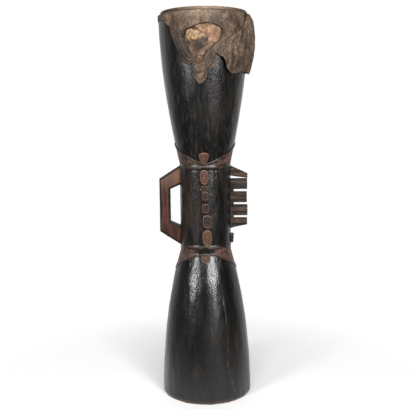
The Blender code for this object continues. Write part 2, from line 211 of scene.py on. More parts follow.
PALE_LUMP = [(-23.3, 40), (-16.7, 31.8), (1.4, 43), (0.2, 49.9), (-9.6, 54.8), (-21, 52.5)]
SCALED_STRIP = [(-10.4, 27), (2.7, 25.6), (2.6, 43), (-9.3, 32.2)]
TAN_FOLD = [(3.9, 29.1), (19.8, 32.1), (18.7, 53.1), (7.5, 62.1)]
GUM_DROP = [(-8.5, 74), (3.5, 62), (6, 66), (0, 80), (-3.6, 90.1), (-8, 86)]

# Drop in millimetres of the apron's top, and over which the flap hangs clear of the shell
APRON_TOP = 0.25
FLAP_HANG = 111.7

# How far the apron and the flap are lifted off the shell, in metres
APRON_LIFT = 0.0014
APRON_LEAST = 0.0013
APRON_BAG = 0.0022
APRON_CURL = 0.0034
APRON_FOLD = 0.0010
APRON_BUMP = 0.0007
FLAP_LIFT = 0.0022
FLAP_LEAST = 0.0020
FLAP_ROLL = 0.0030
FLAP_STAND = 0.0070
FLAP_WRINKLE = 0.0011
FLAP_SLACK = 0.0011

# Scraps in the tear in metres: how high their base lies over the shell, and how thick they are below it
SCRAP_BASE = 0.0008
SCRAP_SINK = 0.0004

# Painted shade in the hollow of the tear: degrees, height in metres, and reach in each direction
HOLLOW_SHADE = (-6, 0.679, 7, 0.010)

# Lamps: name, degrees from the front, distance, height, width, length, share of the strip light power
LAMPS = [
    ("strip_left", -42, 2.4, 0.95, 0.45, 0.70, 1.0),
    ("strip_right", 27, 2.4, 0.95, 0.50, 0.75, 1.2),
    ("soft_top", 0, 1.9, 2.2, 1.8, 1.8, 1.5),
]
LAMP_AIM = 0.40

# Camera: place in metres, degrees turned down and rolled, focal length and sensor in millimetres
CAMERA_PLACE = (-0.0008, -1.285, 0.552)
CAMERA_PITCH = 7.68
CAMERA_ROLL = 0.55
CAMERA_LENS = 57.16
CAMERA_SENSOR = 36

# Floor in metres: radii of its middle and edge, depth under the foot, and where it fades into the white
FLOOR_MIDDLE = 0.001
FLOOR_RADIUS = 3.0
FLOOR_DEPTH = 0.0005
FLOOR_FADE = (0.13, 0.5)
WHITE = (1, 1, 1, 1)

# Light from the surroundings: Y of a direction where it starts and stops growing, and strength at both
BACKDROP = (0.1, 0.75, 0.08, 0.9)


def srgb(red, green, blue):
    """Linear colour, with alpha, for an sRGB colour given from 0 to 255."""
    values = [channel / 255 for channel in (red, green, blue)]
    linear = [v / 12.92 if v <= 0.04045 else ((v + 0.055) / 1.055) ** 2.4 for v in values]
    return (*linear, 1.0)


def lattice(x, y, z, seed):
    """Random numbers from -1 to 1 at whole-numbered points, mixed from point and seed by odd factors."""
    mixed = ((x * 73856093) ^ (y * 19349663) ^ (z * 83492791) ^ (seed * 26544357)) & 0xFFFFFFFF
    mixed = ((mixed ^ (mixed >> 13)) * 1274126177) & 0xFFFFFFFF
    return ((mixed ^ (mixed >> 16)) & 0xFFFF) / 32767.5 - 1.0


def noise(points, size, seed, octaves=3):
    """Smooth noise: lattice values blended by smoothstep, with each octave half as large and as strong."""
    total = np.zeros(points.shape[:-1])
    weight = 1.0
    for octave in range(octaves):
        scaled = points / np.asarray(size) * 2**octave
        corner = np.floor(scaled).astype(np.int64)
        share = scaled - corner
        share = share * share * (3 - 2 * share)
        for step in range(8):
            side = np.array([step & 1, (step >> 1) & 1, (step >> 2) & 1])
            factor = np.prod(np.where(side == 1, share, 1 - share), axis=-1)
            at = corner + side
            total += weight * factor * lattice(at[..., 0], at[..., 1], at[..., 2], seed + octave)
        weight *= 0.5
    return total


def patches(points, size, seed, base=0.0, strength=1.0):
    """Patches from 0 to 1: a base plus noise times a strength, cut off at both ends."""
    return np.clip(base + strength * noise(points, size, seed), 0, 1)


def bell(value, at, width):
    """Bell curve, 1 at a place: e to the power of minus the squared distance in widths."""
    return np.exp(-(((value - at) / width) ** 2))


def ramp(value, start, length):
    """Straight rise from 0 at the start to 1 a length further on."""
    return np.clip((value - start) / length, 0, 1)


def swell(share, curve, straight=0.0):
    """How far a bell has opened: a power curve, steep at the waist and level at the mouth, plus a cone."""
    share = np.clip(share, 0, 1)
    return (1 - straight) * (1 - (1 - share) ** curve) + straight * share


def body_radius(z, foot=FOOT_RADIUS, waist=WAIST_RADIUS, head=SHOULDER_RADIUS):
    """Radius of the hourglass at height z: the waist's radius plus each bell's swell."""
    low = swell((WAIST_LOW - z) / WAIST_LOW, FOOT_CURVE, FOOT_STRAIGHT)
    high = swell((z - WAIST_HIGH) / (SHOULDER - WAIST_HIGH), HEAD_CURVE)
    return waist + (foot - waist) * low + (head - waist) * high


def around(degrees, radius, z):
    """Points at an angle from the front toward +X, a radius and a height."""
    angle = np.radians(degrees)
    return np.stack(np.broadcast_arrays(radius * np.sin(angle), -radius * np.cos(angle), z), axis=-1)


def off_front(degrees):
    """Degrees from the front or the back, whichever is nearer."""
    return np.abs((degrees + 90) % 180 - 90)


def ridge_height(name, degrees):
    """Height of a carved ridge: its start plus its climb times a power of the way to the side."""
    start, climb, power = RIDGES[name]
    return start + climb * (off_front(degrees) / 90) ** power


def grid_piece(name, points, wrap_rows=False, wrap_columns=False, caps=False, **values):
    """Mesh over a grid of points, with values stored on its vertices.

    Neighbours make quads, ends are joined or capped, and all faces are turned outward.
    """
    rows, columns = points.shape[:2]
    index = np.arange(rows * columns).reshape(rows, columns)
    if wrap_rows:
        index = np.vstack([index, index[:1]])
    if wrap_columns:
        index = np.hstack([index, index[:, :1]])
    corners = [index[:-1, :-1], index[:-1, 1:], index[1:, 1:], index[1:, :-1]]
    quads = np.stack(corners, axis=-1).reshape(-1, 4)
    flat = points.reshape(-1, 3)
    a, b, c, d = (flat[quads[:, i]] for i in range(4))
    volume = np.sum(np.cross(a, b) * c + np.cross(a, c) * d)
    faces = quads.tolist()
    if caps:
        faces += [index[0, :columns][::-1].tolist(), index[-1, :columns].tolist()]
    closed = wrap_rows or caps
    if volume < 0 or not closed:
        faces = [face[::-1] for face in faces]
    mesh = bpy.data.meshes.new(name)
    mesh.from_pydata(flat.tolist(), [], faces)
    for key, value in values.items():
        layer = mesh.attributes.new(key, "FLOAT", "POINT")
        layer.data.foreach_set("value", np.broadcast_to(value, points.shape[:2]).astype(np.float32).ravel())
    mesh.polygons.foreach_set("use_smooth", np.ones(len(faces), dtype=bool))
    mesh.update()
    piece = bpy.data.objects.new(name, mesh)
    bpy.context.scene.collection.objects.link(piece)
    return piece


def frame_node(name):
    """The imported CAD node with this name."""
    found = bpy.data.objects.get(name)
    if found is None:
        raise RuntimeError(f"the frame has no node {name}")
    return found


def cover(piece, look):
    """Gives a piece one material in place of what it had."""
    piece.data.materials.clear()
    piece.data.materials.append(look)


def dress(piece, slot_name, look, *nodes):
    """Puts the piece on the drum's body, with its material, and hides the CAD nodes it stands for. The slot
    name is not used.
    """
    cover(piece, look)
    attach(piece, "root")
    if nodes:
        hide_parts(*nodes)


def thicken(piece):
    """Gives an open surface the skin's thickness, inward from its outer face."""
    solid = piece.modifiers.new("Thickness", "SOLIDIFY")
    solid.thickness = SKIN_THICKNESS
    solid.offset = -1.0


def smooth_path(points, count, closed):
    """Points evenly numbered along a Catmull-Rom curve through the given points."""
    points = np.asarray(points, dtype=float)
    before, after = (points[-1:], points[:2]) if closed else (points[:1], points[-1:])
    padded = np.vstack([before, points, after])
    spans = len(points) if closed else len(points) - 1
    at = np.linspace(0, spans, count, endpoint=not closed)
    start = np.minimum(at.astype(int), spans - 1)
    t = (at - start)[:, None]
    a, b, c, d = (padded[start + i] for i in range(4))
    return 0.5 * (2 * b + (c - a) * t + (2 * a - 5 * b + 4 * c - d) * t**2 + (3 * b - a - 3 * c + d) * t**3)


class Nodes:
    """Small helper that adds and links the nodes of one tree."""

    def __init__(self, tree):
        self.tree = tree

    def node(self, kind, settings=(), **inputs):
        """Adds a node, sets its settings, and links or sets its inputs."""
        made = self.tree.nodes.new(kind)
        for key, value in dict(settings).items():
            setattr(made, key, value)
        for key, value in inputs.items():
            self.put(made.inputs[key.replace("_", " ")], value)
        return made

    def put(self, socket, value):
        """Links an output into a socket, or sets its value."""
        if isinstance(value, bpy.types.NodeSocket):
            self.tree.links.new(value, socket)
        else:
            socket.default_value = value

    def step(self, value, low, high, to_low=0.0, to_high=1.0):
        """Spreads a value from low..high over to_low..to_high."""
        made = self.node("ShaderNodeMapRange", Value=value)
        for key, number in (("From Min", low), ("From Max", high), ("To Min", to_low), ("To Max", to_high)):
            made.inputs[key].default_value = number
        return made.outputs[0]

    def blend(self, share, first, second):
        """Mixes two shaders."""
        made = self.node("ShaderNodeMixShader", Fac=share)
        self.put(made.inputs[1], first)
        self.put(made.inputs[2], second)
        return made.outputs[0]


class Shader(Nodes):
    """The nodes of one procedural material, on object coordinates and vertex values."""

    def __init__(self, name):
        self.material = bpy.data.materials.new(name)
        self.material.use_nodes = True
        super().__init__(self.material.node_tree)
        self.surface = self.tree.nodes["Principled BSDF"]
        self.place = self.node("ShaderNodeTexCoord").outputs["Object"]

    def stretched(self, x, y, z):
        """Object coordinates scaled along each axis."""
        return self.node("ShaderNodeMapping", Vector=self.place, Scale=(x, y, z)).outputs[0]

    def noise(self, where, scale, detail=4.0):
        """Noise from 0 to 1."""
        return self.node("ShaderNodeTexNoise", Vector=where, Scale=scale, Detail=detail).outputs["Fac"]

    def value(self, name):
        """A vertex value stored on the mesh."""
        return self.node("ShaderNodeAttribute", {"attribute_name": name}).outputs["Fac"]

    def height(self):
        """Height above the ground in metres."""
        return self.node("ShaderNodeSeparateXYZ", Vector=self.place).outputs["Z"]

    def math(self, operation, first, second):
        """Result of a Math node on two values."""
        made = self.node("ShaderNodeMath", {"operation": operation})
        self.put(made.inputs[0], first)
        self.put(made.inputs[1], second)
        return made.outputs[0]

    def mix(self, share, first, second):
        """Mixes two colours, which are sockets 6 and 7 of a Mix node."""
        made = self.node("ShaderNodeMix", {"data_type": "RGBA"})
        self.put(made.inputs[0], share)
        self.put(made.inputs[6], first)
        self.put(made.inputs[7], second)
        return made.outputs[2]

    def bump(self, height, distance, strength=1.0, before=None):
        """Bump from a height, on top of an earlier one if given."""
        made = self.node("ShaderNodeBump", Height=height, Distance=distance, Strength=strength)
        if before is not None:
            self.put(made.inputs["Normal"], before)
        return made.outputs[0]

    def done(self, colour, roughness, normal=None, specular=0.5):
        """Fills the surface's sockets and returns the material."""
        self.put(self.surface.inputs["Base Color"], colour)
        self.put(self.surface.inputs["Roughness"], roughness)
        if normal is not None:
            self.put(self.surface.inputs["Normal"], normal)
        self.surface.inputs["Specular IOR Level"].default_value = specular
        return self.material


def blackened_wood(settings):
    """Smoke-blackened wood: dark streaks and grain, with stronger grain higher up.

    The wear value rubs it brown and the ochre value fills the carving with dusty earth colour.
    """
    s = Shader("blackened_wood")
    streaks = s.noise(s.stretched(60, 60, 7), 1.0, 6.0)
    broad = s.noise(s.stretched(14, 14, 6), 1.0, 4.0)
    fibres = s.noise(s.stretched(230, 230, 26), 1.0, 6.0)
    dark = s.mix(s.step(streaks, 0.38, 0.72), srgb(5, 5, 5), srgb(19, 18, 17))
    by_height = s.step(s.height(), 0.25, 0.42, 0.2, 1.0)
    strong = s.math("MULTIPLY", s.step(fibres, 0.5, 0.72, 0.0, 0.55), by_height)
    dark = s.mix(strong, dark, srgb(58, 52, 47))
    worn = s.mix(s.step(broad, 0.52, 0.78), dark, srgb(30, 26, 23))
    rubbed = s.mix(s.value("wear"), worn, srgb(66, 50, 38))
    dusty = s.mix(s.step(s.noise(s.place, 130.0), 0.4, 0.62), (*settings.ochre, 1.0), srgb(48, 36, 30))
    colour = s.mix(s.value("ochre"), rubbed, dusty)
    grain = s.bump(s.noise(s.stretched(420, 420, 40), 1.0, 5.0), 0.0006, 0.5)
    pitted = s.noise(s.stretched(300, 300, 170), 1.0, 4.0)
    normal = s.bump(pitted, 0.0008, 0.45, s.bump(broad, 0.003, 0.6, grain))
    bare = s.step(broad, 0.3, 0.7, 0.2, 0.38)
    matt = s.step(s.value("ochre"), 0.0, 0.4, 0.2, 0.55)
    return s.done(colour, s.math("MAXIMUM", bare, matt), normal)


def painted_sign(name, low, high, band):
    """Carved sign rubbed with colour: a blotchy fill, with a raised band and dark grooves by their values."""
    s = Shader(name)
    blotch = s.noise(s.place, 420.0, 4.0)
    colour = s.mix(s.step(blotch, 0.4, 0.66), low, high)
    colour = s.mix(s.value("band"), colour, band)
    colour = s.mix(s.value("groove"), colour, srgb(34, 25, 20))
    return s.done(colour, 0.55, s.bump(blotch, 0.0005, 0.5), 0.35)


def grained_wood(name, pale, dark, edge, along, rough):
    """Bare wood: grain stretched along one axis, darker low down, blackened where the edge value says.

    Wood with upright grain, which is the handle's, is also paler and greyer toward its top.
    """
    s = Shader(name)
    scale = (24, 340, 340) if along == "X" else (150, 150, 22)
    grain = s.noise(s.stretched(*scale), 1.0, 5.0)
    colour = s.mix(s.step(grain, 0.44, 0.68), dark, pale)
    blotch = s.noise(s.place, 60.0, 3.0)
    colour = s.mix(s.step(blotch, 0.45, 0.8, 0.0, 0.6), colour, dark)
    height = s.height()
    colour = s.mix(s.step(height, 0.345, 0.300, 0.0, 0.6), colour, dark)
    if along == "Z":
        colour = s.mix(s.step(height, 0.405, 0.440, 0.0, 0.55), colour, srgb(118, 90, 76))
    colour = s.mix(s.value("edge"), colour, edge)
    return s.done(colour, rough, s.bump(grain, 0.0012, 0.7), 0.25)


def dried_skin(name, pale, mid, dark):
    """Dried lizard skin: stains, creases and small scales from a cell pattern, with a leathery roughness.

    The pale value lightens it as painted light on the lit front, and the tone value darkens it with stains
    and painted shade.
    """
    s = Shader(name)
    tilted = s.node("ShaderNodeMapping", Vector=s.place, Rotation=(0.6, 0.3, 0.8)).outputs[0]
    scales = s.node("ShaderNodeTexVoronoi", Vector=tilted, Scale=430.0).outputs["Distance"]
    stains = s.noise(s.stretched(62, 62, 30), 1.0, 7.0)
    fine = s.noise(s.place, 260.0, 5.0)
    colour = s.mix(s.step(stains, 0.35, 0.68), mid, pale)
    creases = s.noise(s.stretched(250, 250, 130), 1.0, 6.0)
    colour = s.mix(s.step(creases, 0.5, 0.66, 0.0, 0.7), colour, dark)
    colour = s.mix(s.step(fine, 0.5, 0.75, 0.0, 0.4), colour, dark)
    # Painted light: the pale value lightens the lit front of the head's rim and the apron's top
    colour = s.mix(s.value("pale"), colour, srgb(176, 150, 126))
    colour = s.mix(s.step(scales, 0.2, 0.6, 0.0, 0.6), colour, dark)
    # The tone value darkens the skin with stains and dark edges, and with painted shade in the head's crease
    # and on its left, along the tear's curled edge and along the flap's fold
    colour = s.mix(s.value("tone"), colour, dark)
    wrinkles = s.bump(creases, 0.0016, 0.7, s.bump(fine, 0.0010, 0.5))
    normal = s.bump(s.step(scales, 0.1, 0.6, 1.0, 0.0), 0.0007, 0.5, wrinkles)
    return s.done(colour, s.step(stains, 0.3, 0.7, 0.55, 0.78), normal, 0.35)


def lump_look(name, pale, dark, rough, grain_size=180.0):
    """Lumpy matter such as gum, wax or dried flesh: two colours in blotches, darkened by the tone value."""
    s = Shader(name)
    blotch = s.noise(s.place, grain_size, 5.0)
    colour = s.mix(s.step(blotch, 0.38, 0.66), dark, pale)
    # The tone value is painted shade in the under-skin's hollow, and zero on the other lumps
    colour = s.mix(s.value("tone"), colour, dark)
    return s.done(colour, rough, s.bump(blotch, 0.0012, 0.7), 0.45)


def skin_outside(degrees, drop, lift):
    """Points over the shell's outside at an angle, a drop in millimetres and a lift in metres."""
    z = SHOULDER - np.asarray(drop) * 0.001
    return around(degrees, body_radius(z) + lift, z)


def skin_spot(degrees, drop):
    """Places on the skin laid out flat, in metres, for its noise."""
    return np.stack([degrees * 0.0015, drop * 0.001, 0 * drop], axis=-1)


def from_drops(outline, count=72):
    """Smooth closed outline in degrees and metres of height, from degrees and millimetres of drop."""
    path = smooth_path(outline, count, True)
    return np.stack([path[:, 0], SHOULDER - path[:, 1] * 0.001], axis=-1)


def pillow(name, outline, crown, sink, base=0.0, rings=26, rough=0.0, seed=5, grooves=(), hollow=None):
    """Closed pad on the shell, over an outline in degrees and metres of height.

    Rings shrink from the outline to its middle. A ring stands above the base by the crown times one less
    a high power of its share of the outline, less a bell curve at each groove, plus noise. The underside
    lies the sink below the base. The hollow is painted shade, which darkens a place given in degrees and
    height.
    """
    middle = outline.mean(axis=0)
    share = np.concatenate([np.linspace(0.02, 1, rings), np.linspace(1, 0.02, 5)])[:, None]
    top = (np.arange(len(share)) < rings)[:, None]
    flat = middle + (outline - middle)[None] * share[..., None]
    degrees, height = flat[..., 0], flat[..., 1]
    profile = crown * (1 - share ** (10 if grooves else 4))
    for at, depth in grooves:
        profile = profile - depth * bell(share, at, GROOVE_WIDTH)
    bumps = rough * noise(around(degrees, 1.0, height) * [0.08, 0.08, 1.0], 0.006, seed) * (1 - share**6)
    lift = np.where(top, profile + bumps, -sink)
    points = around(degrees, body_radius(height) + base + lift, height)
    values = {"tone": np.zeros_like(lift)}
    if hollow:
        at, middle_z, wide, tall = hollow
        # The hollow's tone is painted shade
        values["tone"] = 1.3 * bell(degrees, at, wide) * bell(height, middle_z, tall)
    if grooves:
        cut = sum(bell(share, at, STAIN_WIDTH) for at, _ in grooves) * top + (share > SIGN_RIM)
        values["groove"] = np.clip(cut, 0, 1)
        values["band"] = bell(share, SIGN_BAND, STAIN_WIDTH) * top
    return grid_piece(name, points, wrap_columns=True, caps=True, **values)


def sign_outline(height, at, tall, wide, power, taper):
    """Outline of a carved sign in degrees and height.

    It is a superellipse, so sine and cosine are raised to two over the corner power: 2 is an ellipse and
    more is squarer. The width grows with the taper toward the top.
    """
    angle = np.linspace(0, 2 * math.pi, 64, endpoint=False)
    up = np.sign(np.sin(angle)) * np.abs(np.sin(angle)) ** (2 / power)
    side = np.sign(np.cos(angle)) * np.abs(np.cos(angle)) ** (2 / power) * (1 + taper * up)
    turned = at + np.degrees(side * wide / 2 / body_radius(height))
    return np.stack([turned, height + up * tall / 2], axis=-1)


def bar(name, first, second, thickness, ease, rough=BAR_ROUGH):
    """Closed bar between two edge lines in X and Z, capped at its ends.

    Each station is a rectangle between the two lines whose corners are quarter circles of the ease.
    """
    pace = np.linspace(0, len(first) - 1, BAR_STATIONS)
    edges = []
    for line in (np.array(first), np.array(second)):
        edges.append(np.stack([np.interp(pace, np.arange(len(line)), line[:, i]) for i in (0, 1)], axis=-1))
    middle = (edges[0] + edges[1]) / 2
    across = edges[0] - edges[1]
    half = np.linalg.norm(across, axis=1, keepdims=True) / 2
    across = across / (2 * half)
    turn = np.radians(np.linspace(0, 90, 5))
    # The last point of a corner lies on the face, and the black of the edge ends there
    corner = np.vstack([np.stack([np.cos(turn), np.sin(turn)], axis=-1), [[-1.0, 1.0]]])
    loop = []
    for side, deep, order in ((1, 1, 1), (-1, 1, -1), (-1, -1, 1), (1, -1, -1)):
        loop += [(side, deep, side * c, deep * d, float(c >= 0)) for c, d in corner[::order]]
    loop = np.array(loop)
    reach = (half - ease) * loop[:, 0] + ease * loop[:, 2]
    depth = (thickness / 2 - ease) * loop[:, 1] + ease * loop[:, 3]
    flat = middle[:, None] + across[:, None] * reach[..., None]
    points = np.stack([flat[..., 0], np.broadcast_to(depth, reach.shape), flat[..., 1]], axis=-1)
    points = points + rough * noise(points, [0.02, 0.006, 0.006], 61)[..., None] * np.array([0.3, 1.0, 0.6])
    return grid_piece(name, points, wrap_columns=True, caps=True, edge=loop[:, 4])


class KunduSettings(bpy.types.PropertyGroup):
    """Colours and sizes that a user may change."""

    ochre: bpy.props.FloatVectorProperty(
        name="Ochre", description="Colour rubbed into the carving", subtype="COLOR", size=3,
        default=srgb(104, 70, 56)[:3], min=0, max=1,
    )
    sag: bpy.props.FloatProperty(
        name="Head sag", description="How far the dry head sinks at its middle",
        default=0.0015, unit="LENGTH",
    )
    tool_marks: bpy.props.FloatProperty(
        name="Tool marks", description="Depth of the adze marks on the shell",
        default=0.00035, unit="LENGTH",
    )
    lamp_power: bpy.props.FloatProperty(
        name="Strip light power", description="Power of each strip light",
        default=40.0, min=0, unit="POWER",
    )


class KUNDU_OT_shell(bpy.types.Operator):
    """Build the hourglass shell with its bore, band lines and worn foot"""

    bl_idname = "kundu.shell"
    bl_label = "Shell"

    def execute(self, context):
        settings = context.scene.kundu
        look = blackened_wood(settings)
        degrees = np.arange(SHELL_COLUMNS) * 360 / SHELL_COLUMNS
        z = OUTSIDE_ROWS[:, None]
        radius = body_radius(z) * np.ones(SHELL_COLUMNS)
        spots = around(degrees, radius, z)
        bands = sum(np.clip(1.6 - np.abs(z - at) / BAND_WIDTH, 0, 1) for at in BANDS)
        bands = bands * np.ones(SHELL_COLUMNS)
        crack_z, crack_degrees = np.array(CRACK).T
        crack = bell(degrees, np.interp(z, crack_z, crack_degrees), 1.0)
        crack = crack * ((z > crack_z[0] - 0.001) & (z < crack_z[-1] + 0.001))
        radius = self.cut(radius, spots, z, bands, crack, settings.tool_marks)
        inner_radius, inner_z = self.inner_rows()
        every_z = np.concatenate([OUTSIDE_ROWS, inner_z])[:, None]
        points = around(degrees, np.vstack([radius, inner_radius]), every_z)
        ochre = np.vstack([self.ochre(degrees, spots, z, bands), np.zeros_like(inner_radius)])
        wear = np.vstack([self.wear(degrees, spots, z, crack), np.full_like(inner_radius, 0.25)])
        shell = grid_piece("shell_body", points, wrap_rows=True, wrap_columns=True, ochre=ochre, wear=wear)
        dress(shell, "blackened_wood", look, "shell")
        return {"FINISHED"}

    def cut(self, radius, spots, z, bands, crack, tool_marks):
        """The smooth radius plus tool-mark noise and bands, less the lines, crack and worn foot."""
        marks = noise(spots, [0.016, 0.016, 0.05], 11)
        facets = noise(spots, [0.009, 0.009, 0.022], 23, 2)
        radius = radius + tool_marks * (marks + 0.6 * facets)
        for line in LINES:
            radius = radius - LINE_DEPTH * bell(z, line, LINE_WIDTH)
        radius = radius + BAND_RISE * bands - CRACK_DEPTH * crack
        worn_edge = np.clip(1 - z / FOOT_WEAR_HEIGHT, 0, 1)
        uneven = 0.75 + 0.35 * noise(spots, [0.02, 0.02, 0.02], 31, 2)
        return radius - FOOT_WEAR * worn_edge**1.6 * uneven

    def inner_rows(self):
        """Radii and heights of the rows over the lip, and down the bore, which is a narrower hourglass."""
        lip = [
            (LIP_RADIUS + LIP_FILLET, SHOULDER), (LIP_RADIUS, SHOULDER + LIP_FILLET),
            (LIP_RADIUS, LIP_TOP - LIP_EASE), (LIP_RADIUS - LIP_EASE, LIP_TOP),
        ]
        lip_radius, lip_z = np.array(lip).T
        bore_z = np.linspace(LIP_TOP, 0.0, BORE_ROWS)
        bore = body_radius(np.minimum(bore_z, SHOULDER), FOOT_BORE, WAIST_BORE, HEAD_BORE)
        radius = np.concatenate([lip_radius, bore])[:, None] * np.ones(SHELL_COLUMNS)
        return radius, np.concatenate([lip_z, bore_z])

    def ochre(self, degrees, spots, z, bands):
        """Ochre on the bands, and between outer lines and ridges, where it fades toward front and back."""
        above = (z > TOP_LINE) & (z < ridge_height("ridge_head", degrees) - RIDGE_CLEAR)
        below = (z < BOTTOM_LINE) & (z > ridge_height("ridge_foot", degrees) + RIDGE_CLEAR)
        off = off_front(degrees)
        fields = above * ramp(off, 9, 9) + below * ramp(off, 16, 14)
        speckle = patches(spots, [0.01, 0.01, 0.006], 41, 0.85, 0.5) * (1 - 0.55 * bell(degrees, 322, 22))
        banded = 0.45 * bands * patches(spots, [0.02, 0.02, 0.005], 59, 0.6)
        return np.clip(fields * speckle + banded, 0, 1)

    def wear(self, degrees, spots, z, crack):
        """Brown wear at the foot's edge, in patches, along the crack and on the waist's left side."""
        foot = np.clip(1.7 - z / 0.0042, 0, 1) * patches(spots, 0.02, 43, 0.7)
        rubbed = 0.5 * patches(spots, [0.02, 0.02, 0.06], 47, -0.6)
        cracked = crack * patches(spots, 0.006, 53, 0.4, 1.3)
        left_side = bell(degrees, 318, 28) * np.clip(1 - np.abs(z - 0.38) / 0.09, 0, 1)
        brown = 0.5 * left_side * patches(spots, [0.006, 0.006, 0.03], 67, 0.5)
        return np.clip(foot + rubbed + cracked + brown, 0, 1)


class KUNDU_OT_carving(bpy.types.Operator):
    """Build the two raised ridges and the signs carved down the front"""

    bl_idname = "kundu.carving"
    bl_label = "Carving"

    def execute(self, context):
        look = blackened_wood(context.scene.kundu)
        for name in RIDGES:
            self.ridge(name, look)
        looks = {
            "ochre": painted_sign("ochre_sign", srgb(68, 41, 30), srgb(98, 63, 45), srgb(116, 86, 66)),
            "smoky": painted_sign("smoky_sign", srgb(10, 9, 8), srgb(44, 29, 24), srgb(124, 86, 66)),
        }
        for name, kind, *shape in SIGNS:
            outline = sign_outline(*shape)
            sign = pillow(
                name, outline, SIGN_CROWN, SIGN_SINK,
                rings=SIGN_RINGS, rough=SIGN_ROUGH, grooves=SIGN_GROOVES,
            )
            dress(sign, "blackened_wood", looks[kind])
        return {"FINISHED"}

    def ridge(self, name, look):
        """Ridge as a ring of oval sections: cosine gives the height and sine the distance off the shell."""
        degrees = np.arange(RIDGE_COLUMNS) * 360 / RIDGE_COLUMNS
        turn = np.radians(np.linspace(0, 360, RIDGE_SECTION, endpoint=False))[:, None]
        middle = ridge_height(name, degrees)
        height = middle + RIDGE_HALF * np.cos(turn)
        uneven = RIDGE_UNEVEN * noise(around(degrees, 0.06, middle), 0.008, 3)
        out = np.sin(turn) * np.where(np.sin(turn) > 0, RIDGE_OUT + uneven, RIDGE_SINK)
        points = around(degrees, body_radius(height) + out, height)
        wear = np.clip(np.sin(turn) - 0.55, 0, 1) * 0.7
        ridge = grid_piece(name, points, wrap_rows=True, wrap_columns=True, ochre=0.12, wear=wear)
        dress(ridge, "blackened_wood", look)


class KUNDU_OT_handle(bpy.types.Operator):
    """Build the reddish loop handle with blackened edges"""

    bl_idname = "kundu.handle"
    bl_label = "Handle"

    def execute(self, context):
        look = grained_wood("reddish_wood", srgb(84, 49, 38), srgb(46, 28, 23), srgb(12, 10, 9), "Z", 0.42)
        outer = self.loop_line(HANDLE_TIP, *HANDLE_HALF)
        inner = self.loop_line(GAP_TIP, *GAP_HALF)
        handle = bar("handle_loop", outer, inner, HANDLE_DEPTH, HANDLE_EASE)
        dress(handle, "reddish_wood", look, "handle")
        return {"FINISHED"}

    def loop_line(self, tip, root_half, tip_half):
        """Line in X and Z from the upper root out to the tip, down it and back to the lower root."""
        return [
            (HANDLE_ROOT, HANDLE_MIDDLE + root_half), (tip, HANDLE_MIDDLE + tip_half),
            (tip, HANDLE_MIDDLE - tip_half), (HANDLE_ROOT, HANDLE_MIDDLE - root_half),
        ]


class KUNDU_OT_crest(bpy.types.Operator):
    """Build the slanting arm, the toothed comb and the broken stub"""

    bl_idname = "kundu.crest"
    bl_label = "Comb crest"

    def execute(self, context):
        look = grained_wood("weathered_wood", srgb(90, 69, 54), srgb(19, 16, 14), srgb(18, 15, 14), "X", 0.6)
        black = grained_wood(
            "blackened_stub", srgb(84, 70, 60), srgb(36, 31, 28), srgb(24, 21, 19), "X", 0.45,
        )
        boards = [("crest_upper_arm", *UPPER_ARM, ["crest_arm"]), ("comb_spine", *SPINE, ["crest_comb"])]
        for number, (top, root_low, tip_low) in enumerate(TEETH, start=1):
            tip = TOOTH_TIP - TOOTH_WEAR * (number % 3)
            upper = [(TOOTH_ROOT, top), (tip, top)]
            lower = [(TOOTH_ROOT, root_low), (tip, tip_low)]
            boards.append((f"comb_tooth_{number}", upper, lower, []))
        for name, upper, lower, nodes in boards:
            board = bar(name, upper, lower, CREST_DEPTH, CREST_EASE)
            dress(board, "weathered_wood", look, *nodes)
        stub = bar("crest_broken_stub", *STUB, CREST_DEPTH, CREST_EASE, rough=STUB_ROUGH)
        dress(stub, "blackened_wood", black, "crest_stub")
        return {"FINISHED"}


